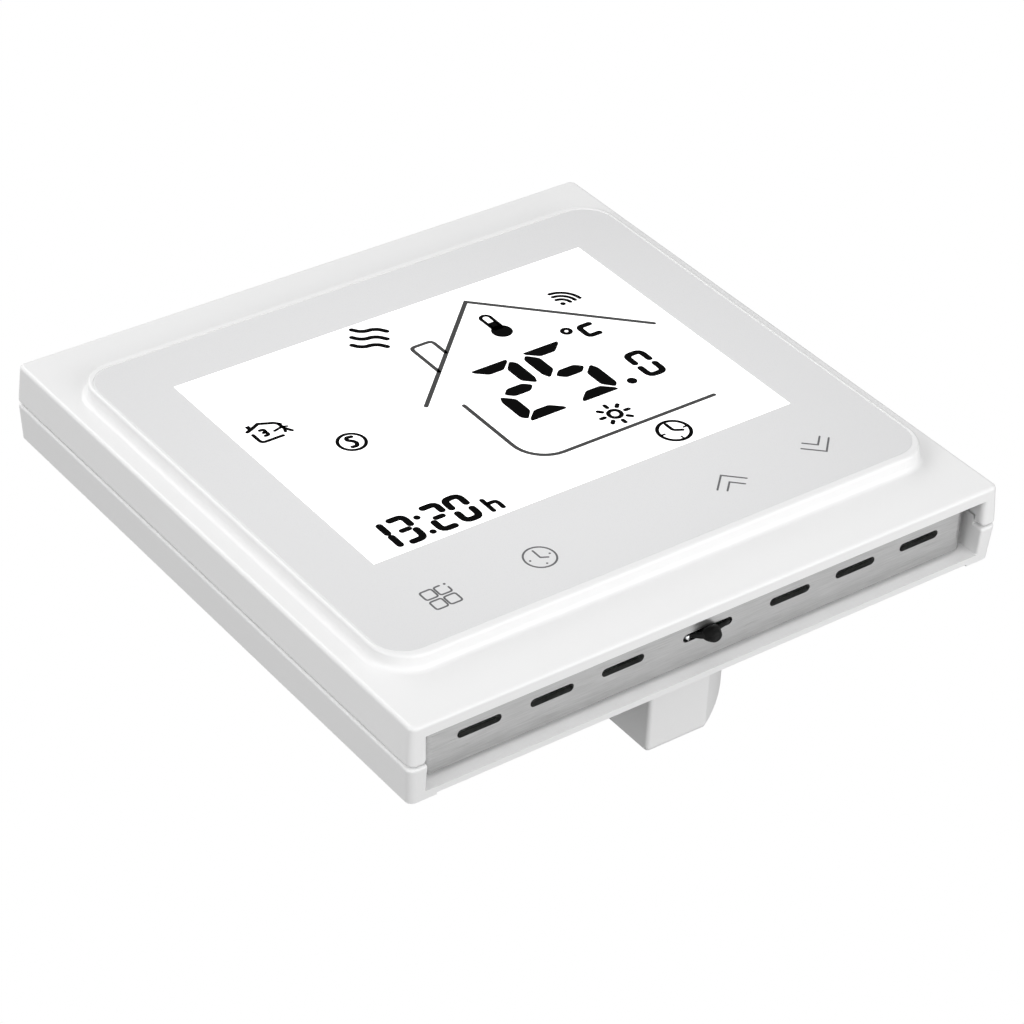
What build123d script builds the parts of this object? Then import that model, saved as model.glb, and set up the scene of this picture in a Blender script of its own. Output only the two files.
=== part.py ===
"""Flush-box wall thermostat: a square two-part body, a raised touch lens over a segment display, and a deep
box behind the wall plane that holds the mains board, relay and terminals.

Frame: origin on the wall plane midway between the two wall screws, +X right, +Z up, +Y into the wall, mm.
"""

from build123d import *
import os

# Body
body_w = 87.0  # across the seam, both ways
end_w = 86.4  # at the wall and at the front rim: both halves narrow slightly away from the seam
rim_d = 10.7  # wall plane to the front rim
seam_d = 5.2
seam_gap = 0.3
corner_r = 0.9
rim_r = 0.5
wall_inner = 41.0  # half width of the room inside the side walls
floor_t = 1.8
lip_t = 0.8  # locating lip round the back frame, inside the bezel's rebate
lip_d = 6.3
clear = 0.3  # between pieces that come apart

# Raised block and touch lens
block_w, block_h, block_r = 80.2, 70.0, 5.0
block_d = 12.85
lens_w, lens_h, lens_r = 79.1, 67.8, 4.3
lens_d, lens_t = 12.8, 1.2
tape_t = 0.2
shelf_t = 1.2
ceiling_d = 9.2  # inner face of the front plate outside the block

# Display stack, each face given by its distance in front of the wall
view_z = 3.85  # height of the display's centre
glass_w, glass_h = 66.0, 48.0
ledge_h = 2.4  # contact ledge above the front glass
glass_t = 0.7
polariser_t = 0.2
film_t = 0.15
guide_t = 1.5
polariser_d = 11.35

# Touch keys
key_xs = (-28.1, -14.1, 14.1, 28.1)
key_z = -27.2
spring_r = 3.7

# Display board
board_t = 1.2
board_d = 7.9  # its front face
board_w = 78.0
board_top, board_bottom = 37.0, -36.5
board_screw_xz = [(x, z) for x in (-36.6, 36.6) for z in (-33.6, 34.6)]

# Vent recess in the lower side
recess_half = 41.0
recess_low, recess_high = 1.2, 9.1  # distances from the wall
strip_z = -41.4
strip_half = 40.2
strip_t = 0.8
slot_w, slot_l, sensor_slot_l = 1.15, 6.1, 7.3
slot_d = 5.5
slot_xs = [side * x for side in (-1, 1) for x in (12.4, 22.5, 32.6)]

# Box behind the wall plane
box_r = 29.8
box_flat_x, box_flat_z = 25.5, 25.8
box_wall = 1.5
deck_y, deep_y = 15.0, 26.5  # backs of the shallow and the deep part
step_x = 5.6  # where the deep part begins

# Wall screws
screw_pitch = 60.0
screw_slot_l, screw_slot_w = 7.4, 4.2

# Power board
power_y = 1.6  # its front face; the parts stand on its back face
power_t = 1.6
power_back = power_y + power_t
post_xz = [(x, z) for x in (-16.5, 16.5) for z in (-20.0, 20.0)]

# Terminals
poles = 6
pitch = 5.08
pole_x = -20.2  # axis of every clamp screw
pole_zs = [(i - (poles - 1) / 2) * pitch for i in range(poles)]
block_x0, block_x1 = -25.2, -14.2
terminal_h = 15.4  # half height of the block
screw_r = 1.15
screw_tip_y = 9.25
head_r = 1.9
head_y0, head_y1 = 13.2, 14.8

# Plug between the halves
plug_z = -10.0
pins = [(x, plug_z + z) for x in (-3.81, -1.27, 1.27, 3.81) for z in (-1.27, 1.27)]


def facing(d):
    """Sketch plane parallel to the wall and d in front of it: sketch x runs right, sketch y runs up."""
    return Plane.XZ.offset(d)


def slab(low, high, d0, d1):
    """A flat piece from low to high in X and Z, between d0 and d1 in front of the wall."""
    with BuildPart() as piece:
        add_slab(low, high, d0, d1)
    return piece


def cut_slab(low, high, d0, d1):
    """Take a rectangular block out of the part being built."""
    add_slab(low, high, d0, d1, Mode.SUBTRACT)


def add_slab(low, high, d0, d1, mode=Mode.ADD):
    """Join a rectangular block to the part being built."""
    with BuildSketch(facing(d0)) as profile:
        with Locations(((low[0] + high[0]) / 2, (low[1] + high[1]) / 2)):
            Rectangle(high[0] - low[0], high[1] - low[1])
    extrude(profile.sketch, amount=d1 - d0, mode=mode)


def round_bars(places, radius, d0, d1, mode=Mode.ADD):
    """Join or cut round bars that run straight out from the wall."""
    with BuildSketch(facing(d0)) as profile:
        with Locations(*places):
            Circle(radius)
    extrude(profile.sketch, amount=d1 - d0, mode=mode)


def box_outline(grow=0.0):
    """Outline of the box that goes into the wall: a disc with four flats."""
    Circle(box_r + grow)
    Rectangle(2 * (box_flat_x + grow), 2 * (box_flat_z + grow), mode=Mode.INTERSECT)


# ---------------------------------------------------------------- back frame, screwed to the wall
with BuildPart() as deep_box:
    with BuildSketch(facing(0)):
        box_outline()
        with Locations((step_x + body_w / 2, 0)):
            Rectangle(body_w, body_w, mode=Mode.INTERSECT)
    extrude(amount=-deep_y)
    fillet(deep_box.edges().filter_by(Axis.Y), radius=0.6)
    fillet(deep_box.edges().group_by(Axis.Y)[-1], radius=0.9)

with BuildPart() as back_frame:
    # box into the wall
    with BuildSketch(facing(0)):
        box_outline()
    extrude(amount=-deck_y)
    rim = back_frame.edges().group_by(Axis.Y)[-1].filter_by(lambda e: e.center().X < step_x - 1)
    fillet(rim, radius=1.0)
    add(deep_box.part)
    # square tray in front of the wall plane, widening to the seam
    with BuildSketch(facing(0)):
        RectangleRounded(end_w, end_w, corner_r)
    with BuildSketch(facing(seam_d - seam_gap / 2)):
        RectangleRounded(body_w, body_w, corner_r)
    loft()
    fillet(back_frame.edges().group_by(Axis.Y)[0], radius=0.35)
    with BuildSketch(facing(seam_d - seam_gap)):
        Rectangle(2 * (wall_inner + lip_t), 2 * (wall_inner + lip_t))
    extrude(amount=lip_d - seam_d + seam_gap)
    with BuildSketch(facing(floor_t)):
        Rectangle(2 * wall_inner, 2 * wall_inner)
    extrude(amount=lip_d, mode=Mode.SUBTRACT)
    # hollow of the box
    with BuildSketch(facing(floor_t + 1)):
        box_outline(-box_wall)
    extrude(amount=-(floor_t + 1 + deck_y - box_wall), mode=Mode.SUBTRACT)
    with BuildSketch(facing(0)):
        box_outline(-box_wall)
        with Locations((step_x + box_wall + body_w / 2, 0)):
            Rectangle(body_w, body_w, mode=Mode.INTERSECT)
    extrude(amount=-(deep_y - box_wall), mode=Mode.SUBTRACT)
    # open lower side, where the vent strip of the front half drops in
    cut_slab((-recess_half, -body_w), (recess_half, -wall_inner + 3.0), recess_low, lip_d + 1)
    cut_slab((-39.5, -body_w / 2 - 1), (39.5, -wall_inner), -0.1, 0.3)
    corners = back_frame.edges().filter_by(Axis.Z).group_by(Axis.Z)[0]
    outside = corners.filter_by(lambda e: abs(e.center().X) > recess_half - 0.1)
    fillet(outside.filter_by(lambda e: e.center().Y < -seam_d + 1), radius=0.3)
    # window for the terminal block, open to the back and to the left
    window_low, window_high = (-26.5, -terminal_h - 0.15), (block_x1 + 0.2, terminal_h + 0.15)
    cut_slab(window_low, window_high, -deck_y - 1, -power_back + 0.1)
    # screw posts for the board and its cover
    round_bars(post_xz[:2], 2.3, -deck_y + box_wall / 2, -power_back)
    round_bars(post_xz[2:], 2.3, -deep_y + box_wall / 2, -power_back)
    round_bars(post_xz, 0.9, -power_back - 7.5, -power_back + 1, Mode.SUBTRACT)
    # slotted wall-screw holes with a raised rim
    with BuildSketch(facing(floor_t - 0.2)):
        with GridLocations(screw_pitch, 1, 2, 1):
            SlotOverall(screw_slot_l + 2.0, screw_slot_w + 2.0)
    extrude(amount=0.9)
    with BuildSketch(facing(-1)):
        with GridLocations(screw_pitch, 1, 2, 1):
            SlotOverall(screw_slot_l, screw_slot_w)
    extrude(amount=6, mode=Mode.SUBTRACT)
    # catches for the bezel's hooks, on the top wall and the side walls
    for x in (-20.0, 20.0):
        add_slab((x - 4, wall_inner - 0.6), (x + 4, wall_inner + 0.2), 3.6, 4.6)
    for side in (-1, 1):
        low, high = sorted((side * (wall_inner - 0.6), side * (wall_inner + 0.2)))
        add_slab((low, -24), (high, -16), 3.6, 4.6)
back_frame.part.label = "back_frame"

# ---------------------------------------------------------------- power board and its cover
with BuildPart() as inner_cover:
    with BuildSketch(facing(floor_t)):
        Circle(29.3)
        Rectangle(50.0, 52.0, mode=Mode.INTERSECT)
    extrude(amount=1.2)
    round_bars(post_xz, 2.1, -power_y, floor_t + 0.1)
    round_bars(post_xz, 1.35, -power_y - 1, floor_t + 2, Mode.SUBTRACT)
    cut_slab((-6.3, plug_z - 3.7), (6.3, plug_z + 3.7), 0, 5)
    # ribs for cooling air over the relay
    with BuildSketch(facing(floor_t - 1)):
        with Locations((14.5, 2)):
            with GridLocations(1, 3.2, 1, 5):
                SlotOverall(12, 1.4)
    extrude(amount=5, mode=Mode.SUBTRACT)
inner_cover.part.label = "inner_cover"

with BuildPart() as cover_screws:
    round_bars(post_xz, 2.1, floor_t + 1.2, floor_t + 2.4)
    round_bars(post_xz, 0.85, -power_back - 7, floor_t + 1.3)
    with BuildSketch(facing(floor_t + 1.7)):
        with Locations(*post_xz):
            Rectangle(2.6, 0.5)
            Rectangle(0.5, 2.6)
    extrude(amount=1, mode=Mode.SUBTRACT)
cover_screws.part.label = "cover_screws"

with BuildPart() as power_board:
    with BuildSketch(facing(-power_back)):
        box_outline(-box_wall - 0.3)
    extrude(amount=power_t)
    round_bars(post_xz, 1.2, -power_back - 1, 1, Mode.SUBTRACT)
    # isolation slot between the mains side and the plug
    cut_slab((-12.0, -4.6), (4.0, -3.6), -5, 0)
    # holes for the terminal legs
    for z in pole_zs:
        cut_slab((-15.85, z - 0.95), (-14.75, z + 0.95), -5, 0)
power_board.part.label = "power_board"

socket_d = 4.0  # rim of the socket
header_base_d = 4.4  # rear face of the plug that meets it, on the display board
with BuildPart() as header_socket:
    with BuildSketch(facing(-power_y)):
        with Locations((0, plug_z)):
            Rectangle(11.0, 6.0)
    extrude(amount=socket_d + power_y)
    with BuildSketch(facing(-power_y + 0.6)):
        with Locations(*pins):
            Rectangle(1.3, 1.3)
    extrude(amount=10, mode=Mode.SUBTRACT)
header_socket.part.label = "header_socket"

# ---------------------------------------------------------------- terminals
with BuildPart() as terminal_block:
    with BuildSketch(facing(-deck_y)):
        with Locations(((block_x0 + block_x1) / 2, 0)):
            Rectangle(block_x1 - block_x0, 2 * terminal_h)
    extrude(amount=deck_y - power_back)
    chamfer(terminal_block.edges().filter_by(Axis.Z).group_by(Axis.Y)[-1], length=0.5)
    for z in pole_zs:
        cut_slab((block_x0 - 1, z - 2.05), (-16.4, z + 2.05), -12.9, -4.4)
        cut_slab((-17, z - 0.85), (-14.9, z + 0.85), -9.25, -8.55)
        cut_slab((-15.75, z - 0.85), (-14.9, z + 0.85), -9.25, -power_back + 1)
    round_bars([(pole_x, z) for z in pole_zs], head_r + 0.25, -deck_y - 1, -12.5, Mode.SUBTRACT)
    # a step along the wire side, where the block shows above the deck
    cut_slab((block_x0 - 1, -terminal_h - 1), (block_x0 + 0.8, terminal_h + 1), -deck_y - 1, -deck_y + 1.2)
terminal_block.part.label = "terminal_block"

with BuildPart() as terminal_contacts:
    for z in pole_zs:
        add_slab((-23.2, z - 0.8), (-15.05, z + 0.8), -9.2, -8.6)
        add_slab((-15.65, z - 0.8), (-15.05, z + 0.8), -9.2, -0.8)
terminal_contacts.part.label = "terminal_contacts"


def clamp_screw(z):
    """Slotted clamp screw, its head sunk in the top of the block."""
    with BuildPart() as piece:
        round_bars([(pole_x, z)], head_r, -head_y1, -head_y0)
        round_bars([(pole_x, z)], screw_r, -head_y0, -screw_tip_y)
        cut_slab((pole_x - 3, z - 0.35), (pole_x + 3, z + 0.35), -head_y1 - 1, -head_y1 + 0.8)
        chamfer(piece.edges().group_by(Axis.Y)[0], length=0.3)
    return piece


def clamp_cage(z):
    """Rectangular cage that the screw draws towards its head, lifting the wire against the contact bar."""
    low, high = 5.0, 10.4
    with BuildPart() as piece:
        add_slab((pole_x - 2.5, z - 1.75), (pole_x + 2.5, z + 1.75), -high, -low)
        cut_slab((pole_x - 3, z - 1.25), (pole_x + 3, z + 1.25), -high + 0.8, -low - 0.6)
        round_bars([(pole_x, z)], screw_r + 0.06, -high - 1, -high + 1, Mode.SUBTRACT)
    return piece


terminal_screws = [clamp_screw(z) for z in pole_zs]
terminal_cages = [clamp_cage(z) for z in pole_zs]
for number, (screw, cage) in enumerate(zip(terminal_screws, terminal_cages), start=1):
    screw.part.label = f"terminal_screw_{number}"
    cage.part.label = f"terminal_cage_{number}"

# ---------------------------------------------------------------- relay, opened up to its moving armature
relay_x, relay_z = 15.0, -6.5  # centre of the relay
relay_w, relay_l, relay_h = 15.4, 19.0, 15.3
with BuildPart() as relay_base:
    with BuildSketch(facing(-power_back - 1.6)):
        with Locations((relay_x, relay_z)):
            Rectangle(relay_w - 1.5, relay_l - 1.5)
    extrude(amount=1.3)
    legs = [(relay_x + side * 5, relay_z - 7) for side in (-1, 1)]
    round_bars(legs, 0.4, -power_back - 1, -power_back)
relay_base.part.label = "relay_base"

with BuildPart() as relay_case:
    with BuildSketch(facing(-power_back - relay_h)):
        with Locations((relay_x, relay_z)):
            Rectangle(relay_w, relay_l)
    extrude(amount=relay_h - 0.1)
    fillet(relay_case.edges().filter_by(Axis.Y), radius=0.5)
    with BuildSketch(facing(-power_back - relay_h + 0.7)):
        with Locations((relay_x, relay_z)):
            Rectangle(relay_w - 1.4, relay_l - 1.4)
    extrude(amount=relay_h, mode=Mode.SUBTRACT)
relay_case.part.label = "relay_case"

coil_y0, coil_y1 = power_back + 2.2, power_back + 11.0
coil_z = relay_z + 2.6
with BuildPart() as relay_coil:
    round_bars([(relay_x, coil_z)], 5.0, -coil_y0 - 0.8, -coil_y0)
    round_bars([(relay_x, coil_z)], 4.4, -coil_y1 + 0.8, -coil_y0 - 0.8)
    round_bars([(relay_x, coil_z)], 5.0, -coil_y1, -coil_y1 + 0.8)
    round_bars([(relay_x, coil_z)], 1.6, -coil_y1 - 1, -coil_y0 + 1, Mode.SUBTRACT)
relay_coil.part.label = "relay_coil"

yoke_z = relay_z + 7.9  # outer face of the upright limb
with BuildPart() as relay_yoke:
    add_slab((relay_x - 4, coil_z - 2.5), (relay_x + 4, yoke_z + 0.5), -coil_y0, -coil_y0 + 0.6)
    add_slab((relay_x - 4, yoke_z - 0.1), (relay_x + 4, yoke_z + 0.5), -coil_y1 - 0.3, -coil_y0)
    round_bars([(relay_x, coil_z)], 1.55, -coil_y1 - 0.2, -coil_y0 + 0.3)
relay_yoke.part.label = "relay_yoke"

armature_y = coil_y1 + 0.65  # near face of the armature plate
with BuildPart() as relay_armature:
    plate_low, plate_high = (relay_x - 3.5, coil_z - 5.5), (relay_x + 3.5, yoke_z + 0.4)
    add_slab(plate_low, plate_high, -armature_y - 0.7, -armature_y)
    spring_low, spring_high = (relay_x - 1.5, coil_z - 9.6), (relay_x + 1.5, coil_z - 5.4)
    add_slab(spring_low, spring_high, -armature_y - 0.6, -armature_y - 0.3)
    round_bars([(relay_x, coil_z - 8.6)], 0.9, -armature_y - 0.4, -armature_y + 0.4)
relay_armature.part.label = "relay_armature"

with BuildPart() as relay_contact:
    left, right = relay_x - 1.5, relay_x + 1.5
    foot = coil_z - 9.6
    add_slab((left, foot), (right, foot + 2.0), -armature_y + 1.5, -armature_y + 2.0)
    add_slab((left, foot), (right, foot + 0.5), -armature_y + 1.6, -power_back - 1.6)
    round_bars([(relay_x, coil_z - 8.5)], 0.8, -armature_y + 1.15, -armature_y + 1.6)
relay_contact.part.label = "relay_contact"

# ---------------------------------------------------------------- transformer
core_x, core_z = 15.2, 11.2
core_w, core_l = 12.6, 6.0
with BuildPart() as transformer_core:
    with BuildSketch(facing(-17.4)):
        with Locations((core_x, core_z)):
            Rectangle(core_w, core_l)
    extrude(amount=13.0)
    for side in (-1, 1):
        low, high = sorted((core_x + side * 1.6, core_x + side * 4.6))
        cut_slab((low, core_z - 5), (high, core_z + 5), -15.4, -6.4)
transformer_core.part.label = "transformer_core"

with BuildPart() as transformer_winding:
    with BuildSketch(facing(-15.2)):
        with Locations((core_x, core_z)):
            RectangleRounded(8.6, 12.4, 2.5)
            Rectangle(3.4, 6.2, mode=Mode.SUBTRACT)
    extrude(amount=8.6)
transformer_winding.part.label = "transformer_winding"

with BuildPart() as transformer_base:
    add_slab((core_x - 5.6, core_z - 6.3), (core_x + 5.6, core_z + 6.3), -4.3, -power_back)
transformer_base.part.label = "transformer_base"

# ---------------------------------------------------------------- parts under the shallow deck
with BuildPart() as x2_capacitor:
    with BuildSketch(facing(-power_back - 10.0)):
        with Locations((-9.6, -12.5)):
            Rectangle(5.4, 13.0)
    extrude(amount=10.0)
    fillet(x2_capacitor.edges().filter_by(Axis.Y), radius=0.5)
    fillet(x2_capacitor.edges().group_by(Axis.Y)[-1], radius=0.5)
x2_capacitor.part.label = "x2_capacitor"

with BuildPart() as varistor:
    with BuildSketch(Plane.XY.offset(-1.0)):
        with Locations((-9.2, power_back + 5.2)):
            Circle(3.6)
    extrude(amount=3.4)
    fillet(varistor.edges(), radius=1.1)
varistor.part.label = "varistor"

with BuildPart() as fuse:
    round_bars([(-9.2, 9.2)], 4.1, -power_back - 7.6, -power_back)
    fillet(fuse.edges().group_by(Axis.Y)[-1], radius=0.6)
fuse.part.label = "fuse"

with BuildPart() as electrolytic_capacitors:
    round_bars([(0.6, -17.4), (0.6, 12.5)], 4.0, -power_back - 9.8, -power_back)
    round_bars([(-1.2, 2.6)], 2.5, -power_back - 7.4, -power_back)
    fillet(electrolytic_capacitors.edges().group_by(Axis.Y)[-1], radius=0.5)
electrolytic_capacitors.part.label = "electrolytic_capacitors"

with BuildPart() as rectifier:
    add_slab((-11.6, 15.6), (-7.6, 20.4), -power_back - 2.4, -power_back)
    chamfer(rectifier.edges().group_by(Axis.Y)[-1], length=0.3)
rectifier.part.label = "rectifier"

with BuildPart() as supply_chip:
    add_slab((-4.6, -9.4), (-0.7, -4.5), -power_back - 1.6, -power_back)
supply_chip.part.label = "supply_chip"

# ---------------------------------------------------------------- front bezel, snapped onto the back frame
with BuildPart() as front_bezel:
    with BuildSketch(facing(seam_d + seam_gap / 2)):
        RectangleRounded(body_w, body_w, corner_r)
    with BuildSketch(facing(rim_d)):
        RectangleRounded(end_w, end_w, corner_r)
    loft()
    fillet(front_bezel.edges().group_by(Axis.Y)[0], radius=rim_r)
    fillet(front_bezel.edges().group_by(Axis.Y)[-1], radius=0.35)
    with BuildSketch(facing(rim_d - 0.5)):
        RectangleRounded(block_w, block_h, block_r)
    extrude(amount=block_d - rim_d + 0.5)
    fillet(front_bezel.edges().group_by(Axis.Y)[0], radius=0.4)
    foot = front_bezel.edges().filter_by_position(Axis.Y, -rim_d - 0.01, -rim_d + 0.01)
    fillet(foot.filter_by(lambda e: max(abs(e.center().X), abs(e.center().Z)) < 41), radius=0.8)
    # seat of the lens and its tape
    with BuildSketch(facing(lens_d - lens_t - tape_t)):
        RectangleRounded(lens_w + 0.2, lens_h + 0.2, lens_r + 0.1)
    extrude(amount=lens_t + tape_t + 1, mode=Mode.SUBTRACT)
    # room behind the front plate
    with BuildSketch(facing(0)):
        Rectangle(2 * wall_inner + 0.2, 2 * wall_inner + 0.2)
    extrude(amount=ceiling_d, mode=Mode.SUBTRACT)
    with BuildSketch(facing(0)):
        Rectangle(2 * (wall_inner + lip_t + clear), 2 * (wall_inner + lip_t + clear))
    extrude(amount=lip_d + clear, mode=Mode.SUBTRACT)
    cut_slab((-38, -33), (38, 33), 5, lens_d - lens_t - tape_t - shelf_t)
    # windows for the display and the touch springs
    cut_slab((-33.6, view_z - glass_h / 2 - 0.6), (33.6, view_z + glass_h / 2 + ledge_h + 0.6), 5, 15)
    round_bars([(x, key_z) for x in key_xs], spring_r + 0.7, 5, 15, Mode.SUBTRACT)
    # open lower side
    cut_slab((-recess_half, -body_w), (recess_half, -wall_inner + 1), 0, recess_high)
    corners = front_bezel.edges().filter_by(Axis.Z).group_by(Axis.Z)[0]
    inside = corners.filter_by(lambda e: abs(e.center().X) < body_w / 2 - 1)
    fillet(inside.filter_by(lambda e: e.center().Y > -seam_d - 1), radius=0.7)
    # rib behind the vent strip, and bosses for the board
    add_slab((-38.5, strip_z + strip_t), (38.5, strip_z + strip_t + 1.2), 6.9, ceiling_d + 0.2)
    round_bars(board_screw_xz, 2.0, board_d, ceiling_d + 1.1)
    round_bars(board_screw_xz, 1.0, board_d - 1, 9.9, Mode.SUBTRACT)
    # hooks that snap behind the catches of the back frame
    for x in (-20.0, 20.0):
        add_slab((x - 3, wall_inner - 2.1), (x + 3, wall_inner - 0.9), 2.3, ceiling_d + 0.2)
        add_slab((x - 3, wall_inner - 1.0), (x + 3, wall_inner - 0.7), 2.3, 3.2)
    for side in (-1, 1):
        low, high = sorted((side * (wall_inner - 2.1), side * (wall_inner - 0.9)))
        add_slab((low, -23), (high, -17), 2.3, ceiling_d + 0.2)
        low, high = sorted((side * (wall_inner - 1.0), side * (wall_inner - 0.7)))
        add_slab((low, -23), (high, -17), 2.3, 3.2)
front_bezel.part.label = "front_bezel"

with BuildPart() as touch_lens:
    with BuildSketch(facing(lens_d - lens_t)):
        RectangleRounded(lens_w, lens_h, lens_r)
    extrude(amount=lens_t)
    fillet(touch_lens.edges().group_by(Axis.Y)[0], radius=0.15)
touch_lens.part.label = "touch_lens"

with BuildPart() as lens_tape:
    with BuildSketch(facing(lens_d - lens_t - tape_t)):
        RectangleRounded(lens_w - 0.6, lens_h - 0.6, lens_r - 0.3)
        with Locations((0, view_z + ledge_h / 2)):
            Rectangle(67.6, glass_h + ledge_h + 1.6, mode=Mode.SUBTRACT)
        with Locations(*[(x, key_z) for x in key_xs]):
            Circle(spring_r + 0.9, mode=Mode.SUBTRACT)
    extrude(amount=tape_t)
lens_tape.part.label = "lens_tape"

# ---------------------------------------------------------------- display stack
glass_low = (-glass_w / 2, view_z - glass_h / 2)
glass_high = (glass_w / 2, view_z + glass_h / 2)
inset_low = (glass_low[0] + 0.5, glass_low[1] + 0.5)
inset_high = (glass_high[0] - 0.5, glass_high[1] - 0.5)
ledge_high = (glass_high[0], glass_high[1] + ledge_h)

front_polariser = slab(inset_low, inset_high, polariser_d, polariser_d + polariser_t)
front_polariser.part.label = "front_polariser"
front_glass_d = polariser_d - glass_t
lcd_front_glass = slab(glass_low, glass_high, front_glass_d, polariser_d)
lcd_front_glass.part.label = "lcd_front_glass"
rear_glass_d = front_glass_d - glass_t
lcd_rear_glass = slab(glass_low, ledge_high, rear_glass_d, front_glass_d)
lcd_rear_glass.part.label = "lcd_rear_glass"
rear_polariser_d = rear_glass_d - polariser_t
rear_polariser = slab(inset_low, inset_high, rear_polariser_d, rear_glass_d)
rear_polariser.part.label = "rear_polariser"
diffuser_d = rear_polariser_d - film_t
diffuser_sheet = slab(inset_low, inset_high, diffuser_d, rear_polariser_d)
diffuser_sheet.part.label = "diffuser_sheet"
guide_d = diffuser_d - guide_t
light_guide = slab(inset_low, inset_high, guide_d, diffuser_d)
light_guide.part.label = "light_guide"
reflector_sheet = slab(inset_low, inset_high, guide_d - film_t, guide_d)
reflector_sheet.part.label = "reflector_sheet"

led_zs = (-12.0, 3.85, 19.7)
with BuildPart() as lcd_frame:
    with BuildSketch(facing(board_d)):
        with Locations((0, view_z + ledge_h / 2)):
            Rectangle(72.0, glass_h + ledge_h + 3.0)
            Rectangle(glass_w + 0.3, glass_h + ledge_h + 1.0, mode=Mode.SUBTRACT)
    extrude(amount=lens_d - lens_t - tape_t - shelf_t - 0.05 - board_d)
    for z in led_zs:
        cut_slab((32, z - 1.8), (35.1, z + 1.8), 7, guide_d + guide_t + 0.1)
lcd_frame.part.label = "lcd_frame"

with BuildPart() as backlight_leds:
    for z in led_zs:
        add_slab((33.3, z - 1.5), (34.6, z + 1.5), board_d, guide_d + guide_t)
backlight_leds.part.label = "backlight_leds"

contact_z = ledge_high[1] + 0.05  # inner side of the pin row
pin_xs = [(i - 11.5) * 2.5 for i in range(24)]
with BuildPart() as lcd_pins:
    for x in pin_xs:
        left, right, top = x - 0.2, x + 0.2, contact_z + 0.3
        add_slab((left, contact_z - 1.6), (right, top), front_glass_d, front_glass_d + 0.25)
        add_slab((left, contact_z), (right, top), board_d - board_t - 0.6, front_glass_d + 0.1)
lcd_pins.part.label = "lcd_pins"

# ---------------------------------------------------------------- display board and what it carries
with BuildPart() as display_board:
    with BuildSketch(facing(board_d - board_t)):
        with Locations((0, (board_top + board_bottom) / 2)):
            RectangleRounded(board_w, board_top - board_bottom, 1.0)
    extrude(amount=board_t)
    round_bars(board_screw_xz, 1.15, 5, 10, Mode.SUBTRACT)
    round_bars([(x, contact_z + 0.15) for x in pin_xs], 0.32, 5, 10, Mode.SUBTRACT)
    # clearances for the bezel's hooks
    for x in (-20.0, 20.0):
        cut_slab((x - 3.6, 36), (x + 3.6, 40), 5, 10)
    for side in (-1, 1):
        low, high = sorted((side * 38.3, side * 40))
        cut_slab((low, -23.6), (high, -16.4), 5, 10)
display_board.part.label = "display_board"
back_of_board = board_d - board_t

with BuildPart() as board_screws:
    round_bars(board_screw_xz, 1.8, back_of_board - 1.1, back_of_board)
    round_bars(board_screw_xz, 0.95, back_of_board - 0.1, 9.6)
    with BuildSketch(facing(back_of_board - 1.2)):
        with Locations(*board_screw_xz):
            Rectangle(2.2, 0.45)
            Rectangle(0.45, 2.2)
    extrude(amount=0.7, mode=Mode.SUBTRACT)
board_screws.part.label = "board_screws"

with BuildPart() as touch_springs:
    top_d = lens_d - lens_t - 0.02
    round_bars([(x, key_z) for x in key_xs], spring_r, board_d, top_d)
    round_bars([(x, key_z) for x in key_xs], spring_r - 0.5, board_d - 1, top_d - 0.5, Mode.SUBTRACT)
touch_springs.part.label = "touch_springs"

microcontroller = slab((-22, 4), (-12, 14), back_of_board - 1.4, back_of_board)
microcontroller.part.label = "microcontroller"
lcd_driver = slab((8, 17), (15, 24), back_of_board - 1.4, back_of_board)
lcd_driver.part.label = "lcd_driver"

with BuildPart() as radio_board:
    add_slab((14, -8), (32, 16), back_of_board - 0.8, back_of_board)
radio_board.part.label = "radio_board"
radio_shield = slab((15, -7), (31, 9), back_of_board - 2.8, back_of_board - 0.8)
radio_shield.part.label = "radio_shield"

with BuildPart() as backup_capacitor:
    round_bars([(-27, -14)], 4.8, back_of_board - 2.8, back_of_board)
    fillet(backup_capacitor.edges().group_by(Axis.Y)[-1], radius=0.4)
backup_capacitor.part.label = "backup_capacitor"

with BuildPart() as header_plug:
    with BuildSketch(facing(header_base_d)):
        with Locations((0, plug_z)):
            Rectangle(10.2, 5.1)
    extrude(amount=back_of_board - header_base_d)
    with BuildSketch(facing(0)):
        with Locations(*pins):
            Rectangle(0.64, 0.64)
    extrude(amount=10, mode=Mode.SUBTRACT)
header_plug.part.label = "header_plug"

with BuildPart() as header_pins:
    with BuildSketch(facing(-0.6)):
        with Locations(*pins):
            Rectangle(0.64, 0.64)
    extrude(amount=back_of_board + 0.6)
header_pins.part.label = "header_pins"

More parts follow.
